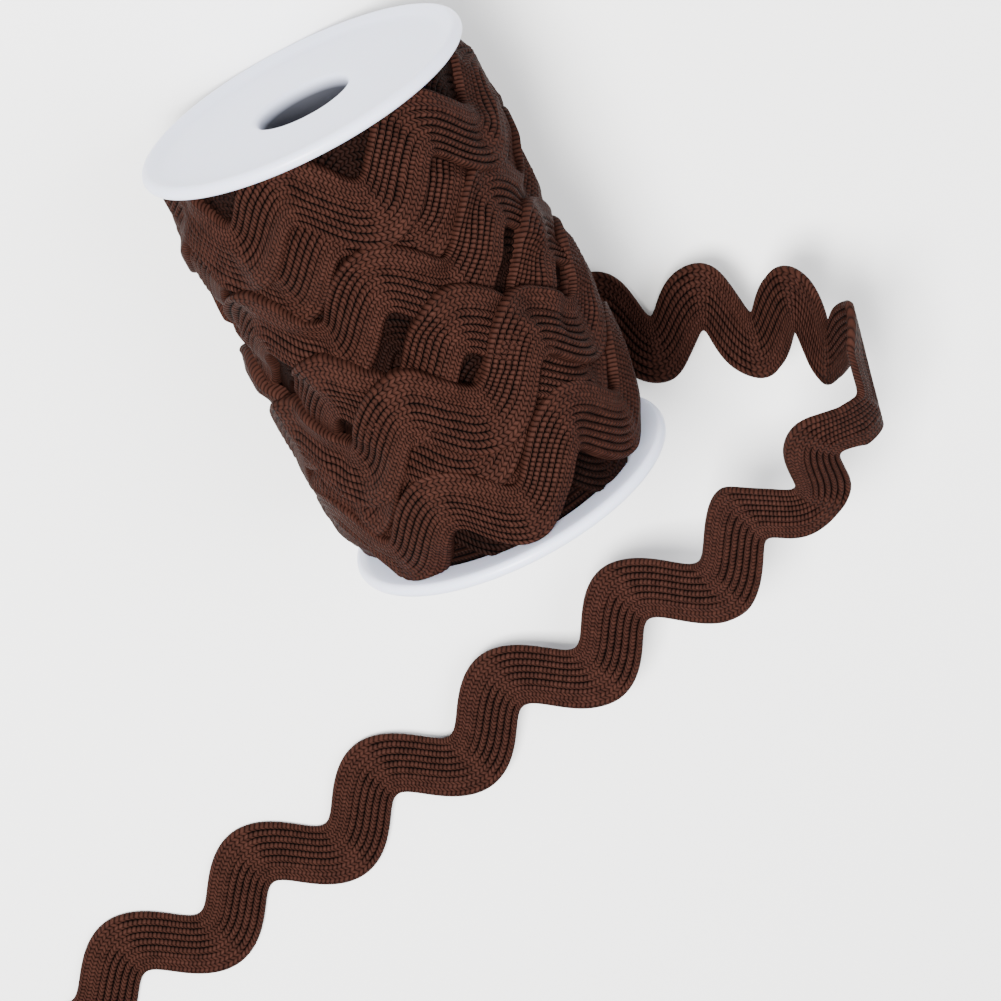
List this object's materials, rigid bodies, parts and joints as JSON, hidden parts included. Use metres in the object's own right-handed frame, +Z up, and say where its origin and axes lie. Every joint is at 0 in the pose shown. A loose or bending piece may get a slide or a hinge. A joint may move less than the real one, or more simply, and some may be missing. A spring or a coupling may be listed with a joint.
{
  "type": "roll of ric rac",
  "caption": "Flanged white plastic spool lying on its side, wound with brown wavy ric rac braid, its loose end turning over in an open curl and running along the floor.",
  "frame": {"origin": "on the floor under the middle of the roll, on the winding's small flat spot", "axes": "+Y along the spool's axis, away from the loose end; +X to the side where the loose end comes out; +Z up"},
  "size_m": [0.1934, 0.157, 0.0597],
  "materials": {
    "brown_braid": "matt woven braid",
    "white_plastic": "smooth, slightly cool white"
  },
  "bodies": {
    "root": {"loose_end": "brown_braid", "spool": "white_plastic", "winding": "brown_braid"}
  },
  "joints": []
}
